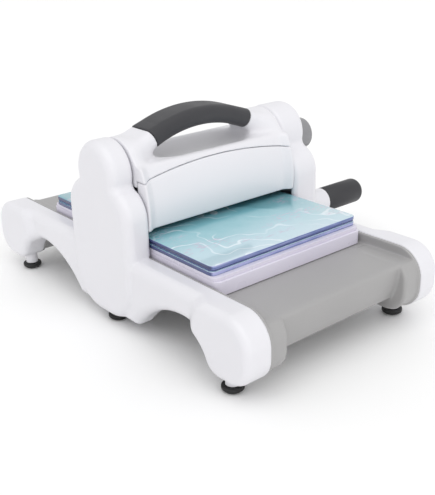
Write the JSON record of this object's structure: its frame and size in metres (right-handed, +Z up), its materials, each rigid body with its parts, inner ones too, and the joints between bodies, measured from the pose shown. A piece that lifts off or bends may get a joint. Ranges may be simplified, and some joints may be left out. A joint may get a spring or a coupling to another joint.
{
  "type": "die cutting machine",
  "caption": "Hand-cranked roller press for cutting card: white housings with a carrying handle, a grey feed tray, and a stack of clear pads on a platform.",
  "frame": {"origin": "under the middle of the whole machine, crank included, on the surface it stands on", "axes": "+X across the machine towards the crank, +Y along the feed direction from front to back, +Z up"},
  "size_m": [0.3166, 0.362, 0.1683],
  "materials": {
    "housing_white": "satin moulded white",
    "tray_grey": "fine-textured moulded grey",
    "soft_grip": "soft-touch overmould",
    "grip_plastic": "dark satin",
    "hub_grey": "satin metallic grey",
    "foot_rubber": "matt black",
    "plate_steel": "zinc-plated",
    "screw_steel": "blackened",
    "roller_steel": "ground",
    "gear_steel": "oiled",
    "bush_bronze": "sintered bronze",
    "platform_clear": "pale lavender sheet",
    "pad_clear": "clear acrylic over a film",
    "card_blue": "card",
    "die_steel": "thin plate"
  },
  "bodies": {
    "frame": {"left_side_cover": "housing_white", "right_side_cover": "housing_white", "base_tray": "tray_grey", "top_cover": "housing_white", "front_fascia": "housing_white", "rear_fascia": "housing_white", "handle_grip": "soft_grip", "left_side_plate": "plate_steel", "right_side_plate": "plate_steel", "tie_rods": "plate_steel", "tie_rod_screws": "screw_steel", "cover_screws": "screw_steel", "plate_screws": "screw_steel", "lower_roller_bushes": "bush_bronze", "upper_roller_bushes": "bush_bronze", "crank_shaft_bushes": "bush_bronze", "thrust_washers": "screw_steel", "rubber_feet": "foot_rubber", "foot_screws": "screw_steel"},
    "lower_roller_set": {"lower_roller": "roller_steel", "lower_sync_gear": "gear_steel", "lower_gear_key": "screw_steel", "lower_gear_circlip": "screw_steel"},
    "upper_roller_set": {"upper_roller": "roller_steel", "upper_sync_gear": "gear_steel", "drive_gear": "gear_steel", "upper_gear_keys": "screw_steel", "upper_gear_circlips": "screw_steel"},
    "crank": {"crank_shaft": "roller_steel", "crank_hub": "hub_grey", "crank_arm": "housing_white", "crank_screw": "screw_steel", "crank_hub_cap": "hub_grey", "grip_spindle": "roller_steel"},
    "grip": {"crank_grip": "grip_plastic", "grip_end_cap": "grip_plastic"},
    "cutting_stack": {"platform": "platform_clear", "platform_leaf": "platform_clear", "lower_cutting_pad": "pad_clear", "card_sheet": "card_blue", "cutting_die": "die_steel", "upper_cutting_pad": "pad_clear"}
  },
  "joints": [
    {"name": "crank_turn", "type": "hinge", "parent": "frame", "child": "crank", "pos_m": [0.05525, 0, 0.1209], "axis": [1, 0, 0], "range_deg": [-820, 780]},
    {"name": "grip_spin", "type": "hinge", "parent": "crank", "child": "grip", "pos_m": [0.13525, 0, 0.0454], "axis": [1, 0, 0], "continuous": true},
    {"name": "upper_roller_turn", "type": "hinge", "parent": "frame", "child": "upper_roller_set", "pos_m": [-0.05475, 0, 0.0969], "axis": [1, 0, 0], "range_deg": [-360, 378]},
    {"name": "lower_roller_turn", "type": "hinge", "parent": "frame", "child": "lower_roller_set", "pos_m": [-0.05475, 0, 0.0419], "axis": [1, 0, 0], "range_deg": [-378, 360]},
    {"name": "stack_feed", "type": "slide", "parent": "frame", "child": "cutting_stack", "axis": [0, 1, 0], "range_m": [-0.1, 0.105]}
  ],
  "couplings": [
    {"joint": "upper_roller_turn", "follows": "crank_turn", "ratio": -0.45455},
    {"joint": "lower_roller_turn", "follows": "crank_turn", "ratio": 0.45455},
    {"joint": "stack_feed", "follows": "crank_turn", "m_per_rad": -0.0072727}
  ]
}
